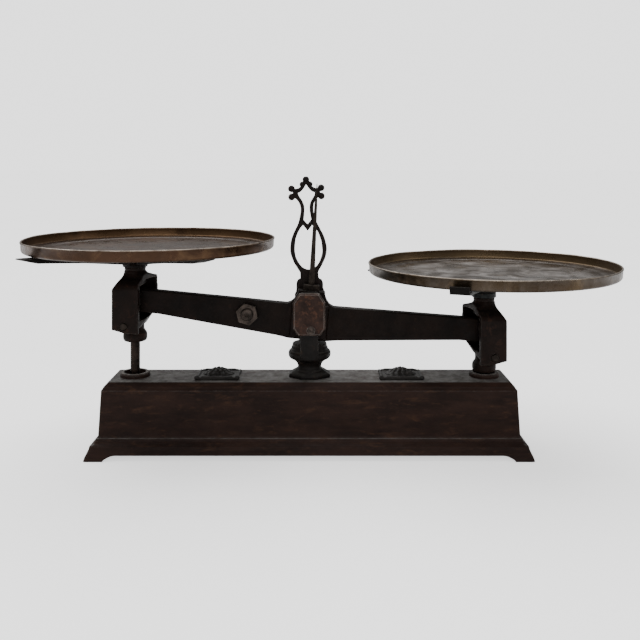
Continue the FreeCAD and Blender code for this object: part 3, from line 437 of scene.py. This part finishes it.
def pan_profile(radius, height, t):
    """The pan's section, from the middle of its underside round the beaded rim to the middle of its floor."""
    drop = PAN_DROP
    well = radius - PAN_LEDGE
    corner = radius - PAN_WALL_IN - PAN_CORNER_R
    bead = (radius - PAN_BEAD_R, height - PAN_BEAD_R)
    under = [(well * i / 12, -drop) for i in range(12)]
    under += [(well - 1.0 * MM, -drop), (well + 0.4 * MM, -drop * 0.75), (well + 2.0 * MM, -drop * 0.2),
              (well + 3.4 * MM, 0.0), (well + 7.0 * MM, 0.0)]
    outside = arc(corner, PAN_CORNER_R, PAN_CORNER_R, -90, -12, 5)
    rim = arc(*bead, PAN_BEAD_R, -70, 215, 12)
    inside = [(radius - PAN_WALL_IN - t, height * 0.6)]
    inside += arc(corner, PAN_CORNER_R + 0.2 * MM, PAN_CORNER_R - t, -8, -90, 5)
    floor_z = t - drop
    ledge = [(well + 7.0 * MM, t + 0.1 * MM), (well + 3.0 * MM, t), (well + 1.4 * MM, t - drop * 0.25),
             (well - 0.2 * MM, t - drop * 0.8), (well - 1.6 * MM, floor_z)]
    return under + outside + rim + inside + ledge + [(well * i / 12, floor_z) for i in range(11, -1, -1)]


def pan_point(angle, r, z, radius, height, seed):
    """A point of the turned pan, drawn in and down near the rim and raised in shallow dents elsewhere."""
    out = Vector((math.cos(angle), math.sin(angle), 0))
    share = r / radius
    wander = noise.noise(out * 1.7 + seed) + 0.5 * noise.noise(out * 5.0 + seed)
    rim = share ** 6
    inward = rim * RIM_WANDER * (1.0 + wander)
    sag = rim * (z / height) * RIM_SAG * (1.0 + wander) if z > 0 else 0.0
    dent = (1 - rim) * FLOOR_DENT * max(0.0, 0.4 + noise.noise(out * share * 3.1 + seed * 2))
    spot = out * (r - inward)
    return spot.x, spot.y, z - sag + dent


def pan(side):
    """A hand-worn sheet pan: turned section, with a rim that wanders a little and shallow dents."""
    low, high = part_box(side + "_pan")
    centre = (low + high) / 2
    radius = (high.x - low.x) / 2
    height = high.z - low.z - PAN_DROP
    mesh = bmesh.new()
    rings = []
    for r, z in pan_profile(radius, height, PAN_THICK[side]):
        if r < 1e-6:
            rings.append([mesh.verts.new((0, 0, z))])
            continue
        angles = [2 * math.pi * i / PAN_STEPS for i in range(PAN_STEPS)]
        rings.append([mesh.verts.new(pan_point(a, r, z, radius, height, PAN_SEED[side])) for a in angles])
    for first, second in zip(rings, rings[1:]):
        for i in range(PAN_STEPS):
            j = (i + 1) % PAN_STEPS
            quad = [ring[k % len(ring)] for ring, k in ((first, i), (first, j), (second, j), (second, i))]
            mesh.faces.new(list(dict.fromkeys(quad)))
    bmesh.ops.recalc_face_normals(mesh, faces=mesh.faces)
    data = bpy.data.meshes.new(side + "_pan_sheet")
    mesh.to_mesh(data)
    mesh.free()
    data.transform(Matrix.Translation((centre.x, centre.y, low.z + PAN_DROP)))
    obj = link(bpy.data.objects.new(side + "_pan_sheet", data))
    return placed(obj, side + "_pan")


pan("left")
pan("right")


# ---- ornaments -------------------------------------------------------------------------------------------
ORNAMENT_RISE = 9.8 * MM
SCROLL_R = 2.3 * MM
MOUND = (14.6 * MM, 10.8 * MM)
SCALE_SIZE = (2.5 * MM, 1.75 * MM, 0.9 * MM)
# each row of scales up the mound: how many, how far out as a share of the mound, and their height in mm
SCALE_ROWS = ((14, 0.98, 2.3), (12, 0.8, 4.0), (10, 0.6, 5.6), (7, 0.38, 7.0))
BUD_LEAVES = 5


def lump(mesh, place, size, turn=0.0, tip=0.0, rings=8):
    """A small rounded form, stretched, tipped outwards and turned, added to a bmesh."""
    made = bmesh.ops.create_uvsphere(mesh, u_segments=2 * rings, v_segments=rings, radius=1.0)["verts"]
    form = (Matrix.Translation(place) @ Matrix.Rotation(turn, 4, "Z") @ Matrix.Rotation(tip, 4, "Y")
            @ Matrix.Diagonal((*size, 1.0)))
    bmesh.ops.transform(mesh, matrix=form, verts=made)


def block(mesh, low, high):
    """A box between two corners."""
    made = bmesh.ops.create_cube(mesh, size=1.0)["verts"]
    middle = [(a + b) / 2 for a, b in zip(low, high)]
    size = [b - a for a, b in zip(low, high)]
    bmesh.ops.transform(mesh, matrix=Matrix.Translation(middle) @ Matrix.Diagonal((*size, 1.0)), verts=made)


def drum(mesh, place, r, length):
    """A short cylinder along Y."""
    made = bmesh.ops.create_cone(mesh, cap_ends=True, segments=32, radius1=r, radius2=r, depth=length)
    form = Matrix.Translation(place) @ Matrix.Rotation(math.radians(90), 4, "X")
    bmesh.ops.transform(mesh, matrix=form, verts=made["verts"])


def ornament_frame(mesh, x, y):
    """The plaque's plate, its long rails with scrolls, and its end rails. x and y are half its size."""
    block(mesh, (-x + 2.5 * MM, -y + 2.0 * MM, -0.6 * MM), (x - 2.5 * MM, y - 2.0 * MM, 1.9 * MM))
    for rail_y in (-y + 2.1 * MM, y - 2.1 * MM):
        block(mesh, (-x + 4 * MM, rail_y - 1.7 * MM, -0.6 * MM), (x - 4 * MM, rail_y + 1.7 * MM, 2.8 * MM))
        block(mesh, (-x + 7 * MM, rail_y - 1.0 * MM, 2.0 * MM), (x - 7 * MM, rail_y + 1.0 * MM, 3.5 * MM))
        r = SCROLL_R if rail_y < 0 else SCROLL_R * 0.6
        for scroll_x in (-x + SCROLL_R, x - SCROLL_R):
            drum(mesh, (scroll_x, rail_y, r - 0.2 * MM), r, 4.1 * MM)
            drum(mesh, (scroll_x, rail_y, r - 0.2 * MM), r * 0.45, 4.3 * MM)
    for end_x in (-x + 2.6 * MM, x - 2.6 * MM):
        block(mesh, (end_x - 1.1 * MM, -y + 3 * MM, -0.6 * MM), (end_x + 1.1 * MM, y - 3 * MM, 2.9 * MM))


def ornament_mound(mesh):
    """Two stacked domes, rows of scales that overlap up their sides, and a bud on top."""
    lump(mesh, (0, 0, 0.8 * MM), (15.5 * MM, 11.2 * MM, 5.6 * MM), rings=16)
    lump(mesh, (0, 0, 2.0 * MM), (9.5 * MM, 7.2 * MM, 6.4 * MM), rings=16)
    for count, share, rise in SCALE_ROWS:
        for i in range(count):
            a = 2 * math.pi * (i + 0.5 * (count % 4 == 0)) / count
            spot = (MOUND[0] * share * math.cos(a), MOUND[1] * share * math.sin(a), rise * MM)
            facing = math.atan2(math.sin(a) * MOUND[0], math.cos(a) * MOUND[1])
            lump(mesh, spot, SCALE_SIZE, facing, math.radians(38))
    for i in range(BUD_LEAVES):
        a = 2 * math.pi * i / BUD_LEAVES
        spot = (1.9 * MM * math.cos(a), 1.7 * MM * math.sin(a), 7.2 * MM)
        lump(mesh, spot, (1.3 * MM, 1.0 * MM, 1.5 * MM), a)
    lump(mesh, (0, 0, 8.0 * MM), (1.4 * MM, 1.4 * MM, 1.75 * MM))


def ornament(side):
    """A cast plaque: rails that end in scrolls, and a mound of overlapping scales under a small bud."""
    node = side + "_ornament"
    low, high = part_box(node)
    mesh = bmesh.new()
    ornament_frame(mesh, (high.x - low.x) / 2, (high.y - low.y) / 2)
    ornament_mound(mesh)
    data = bpy.data.meshes.new(node + "_cast")
    mesh.to_mesh(data)
    mesh.free()
    data.transform(Matrix.Translation(((low.x + high.x) / 2, (low.y + high.y) / 2, high.z - ORNAMENT_RISE)))
    obj = link(bpy.data.objects.new(node + "_cast", data))
    remesh = obj.modifiers.new("remesh", "REMESH")
    remesh.mode = "VOXEL"
    remesh.voxel_size = 0.32 * MM
    smooth = obj.modifiers.new("smooth", "SMOOTH")
    smooth.iterations = 2
    applied(obj)
    return placed(obj, node)


ornament("left")
ornament("right")


# ---- camera, floor and light -----------------------------------------------------------------------------
EYE = Vector((0.0104, -0.800, 0.282))
LENS = 45.0
SENSOR = 36.0
HORIZON_SHIFT = -0.2453
FLOOR_SIZE = 60.0
FLOOR_Z = -0.0002        # just under the object's feet
BACKGROUND = 2.2         # how bright the studio looks behind the object
FILL = 0.42              # how much light comes from all round


def camera():
    """The view: a level camera, shifted down so that uprights stay upright."""
    data = bpy.data.cameras.new("photo_view")
    data.lens = LENS
    data.sensor_width = SENSOR
    data.shift_y = HORIZON_SHIFT
    obj = link(bpy.data.objects.new("photo_view", data))
    obj.location = EYE
    obj.rotation_euler = (math.radians(90), 0, 0)
    bpy.context.scene.camera = obj


def floor():
    bpy.ops.mesh.primitive_plane_add(size=FLOOR_SIZE, location=(0, 0, FLOOR_Z))
    obj = bpy.context.object
    obj.name = "studio_floor"
    shade(obj, stage_white(), False)


def lamp(name, kind, place, aim, power, **settings):
    """A light at a place, turned to face the point it aims at."""
    data = bpy.data.lights.new(name, kind)
    data.energy = power
    for key, value in settings.items():
        setattr(data, key, value)
    obj = link(bpy.data.objects.new(name, data))
    obj.location = place
    obj.rotation_euler = (Vector(aim) - Vector(place)).to_track_quat("-Z", "Y").to_euler()


def studio_light():
    """A pale studio: bright backdrop, dim fill from all round, and broad light from above."""
    world = bpy.data.worlds.new("studio")
    world.use_nodes = True
    tree = world.node_tree
    backdrop = tree.nodes["Background"]
    backdrop.inputs[0].default_value = (1, 1, 1, 1)
    backdrop.inputs[1].default_value = BACKGROUND
    fill = tree.nodes.new("ShaderNodeBackground")
    fill.inputs[1].default_value = FILL
    seen = tree.nodes.new("ShaderNodeLightPath")
    mixed = tree.nodes.new("ShaderNodeMixShader")
    tree.links.new(seen.outputs["Is Camera Ray"], mixed.inputs[0])
    tree.links.new(fill.outputs[0], mixed.inputs[1])
    tree.links.new(backdrop.outputs[0], mixed.inputs[2])
    tree.links.new(mixed.outputs[0], tree.nodes["World Output"].inputs[0])
    bpy.context.scene.world = world
    lamp("overhead", "SUN", (-0.25, 0.35, 1.0), (0, 0, 0), 3.1, angle=math.radians(75))
    lamp("front_soft", "AREA", (0.1, -1.7, 1.1), (0, 0, 0.1), 9, shape="RECTANGLE", size=1.6, size_y=0.9)
    lamp("left_soft", "AREA", (-1.5, -0.5, 1.0), (0, 0, 0.12), 2, shape="RECTANGLE", size=0.9, size_y=1.2)
    lamp("right_soft", "AREA", (1.6, -0.2, 0.9), (0, 0, 0.12), 4, shape="RECTANGLE", size=0.7, size_y=1.2)


camera()
floor()
studio_light()
